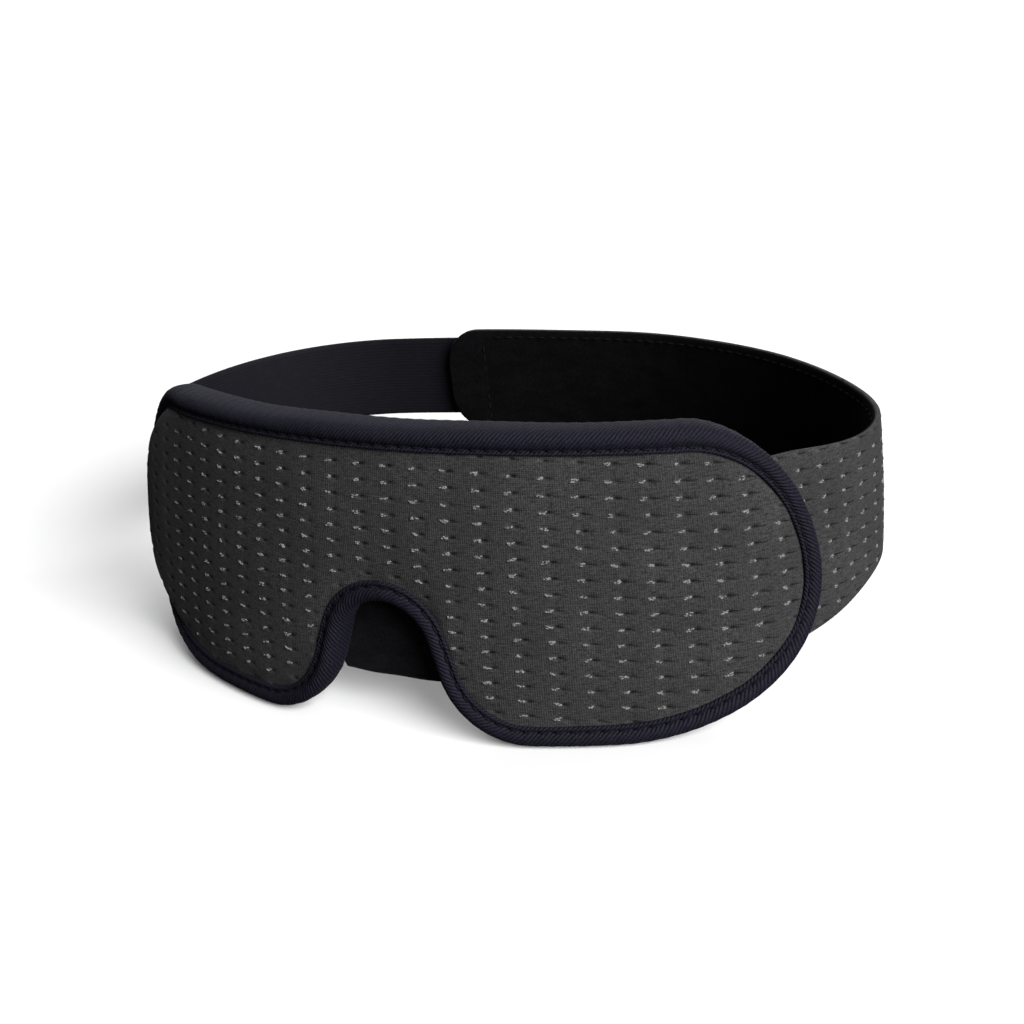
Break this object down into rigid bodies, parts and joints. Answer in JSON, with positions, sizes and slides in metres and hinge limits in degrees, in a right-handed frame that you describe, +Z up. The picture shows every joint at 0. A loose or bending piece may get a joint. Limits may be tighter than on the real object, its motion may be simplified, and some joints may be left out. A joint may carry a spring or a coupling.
{
  "type": "sleep eye mask",
  "caption": "Wrap-round padded eye mask with a nose notch, bound edge, eye pads, a wide strap and a narrow elastic strap closed at the back by a hook patch.",
  "frame": {"origin": "under the middle of the closed loop, at the height of the lobes' lowest edge", "axes": "+Z up, the panel faces -Y, +X is the side of the wide strap"},
  "size_m": [0.2505, 0.1767, 0.0875],
  "materials": {
    "knit_mesh": "heathered knit mesh with rows of tufts, matt",
    "foam": "open-cell foam, matt",
    "lining_fabric": "smooth brushed lining, matt",
    "twill_binding": "diagonal twill tape, faint sheen",
    "thread": "twisted sewing thread",
    "elastic_webbing": "smooth ribbed elastic",
    "loop_fabric": "soft brushed loop pile",
    "hook_tape": "hook tape"
  },
  "bodies": {
    "mask": {"face_fabric": "knit_mesh", "foam_core": "foam", "inner_lining": "lining_fabric", "edge_binding": "twill_binding", "binding_stitching": "thread", "left_eye_pad": "foam", "right_eye_pad": "foam", "left_eye_pad_cover": "lining_fabric", "right_eye_pad_cover": "lining_fabric", "nose_flap_seam": "twill_binding", "nose_flap_stitching": "thread", "left_strap_anchor": "elastic_webbing", "right_strap_anchor": "knit_mesh", "left_anchor_stitching": "thread", "right_anchor_stitching": "thread"},
    "nose_flap": {"nose_flap": "lining_fabric"},
    "right_strap": {"right_strap_face": "knit_mesh", "right_strap_foam": "foam", "right_strap_loop_lining": "loop_fabric", "right_strap_stitching": "thread"},
    "left_strap": {"elastic_strap": "elastic_webbing", "hook_patch": "hook_tape", "hook_patch_stitching": "thread"},
    "pull_tab": {"pull_tab": "elastic_webbing"}
  },
  "joints": [
    {"name": "left_strap_swing", "type": "hinge", "parent": "mask", "child": "left_strap", "pos_m": [-0.0973, -0.03214, 0.042], "axis": [0, 0, 1], "range_deg": [0, 75]},
    {"name": "right_strap_swing", "type": "hinge", "parent": "mask", "child": "right_strap", "pos_m": [0.1075, -0.02605, 0.042], "axis": [0, 0, 1], "range_deg": [0, 25]},
    {"name": "pull_tab_peel", "type": "hinge", "parent": "left_strap", "child": "pull_tab", "pos_m": [0.00164, 0.08836, 0.042], "axis": [0, 0, 1], "range_deg": [0, 100]},
    {"name": "nose_flap_fold", "type": "hinge", "parent": "mask", "child": "nose_flap", "pos_m": [0.0117, -0.07159, 0.053], "axis": [1, 0, 0], "range_deg": [0, 50]}
  ]
}
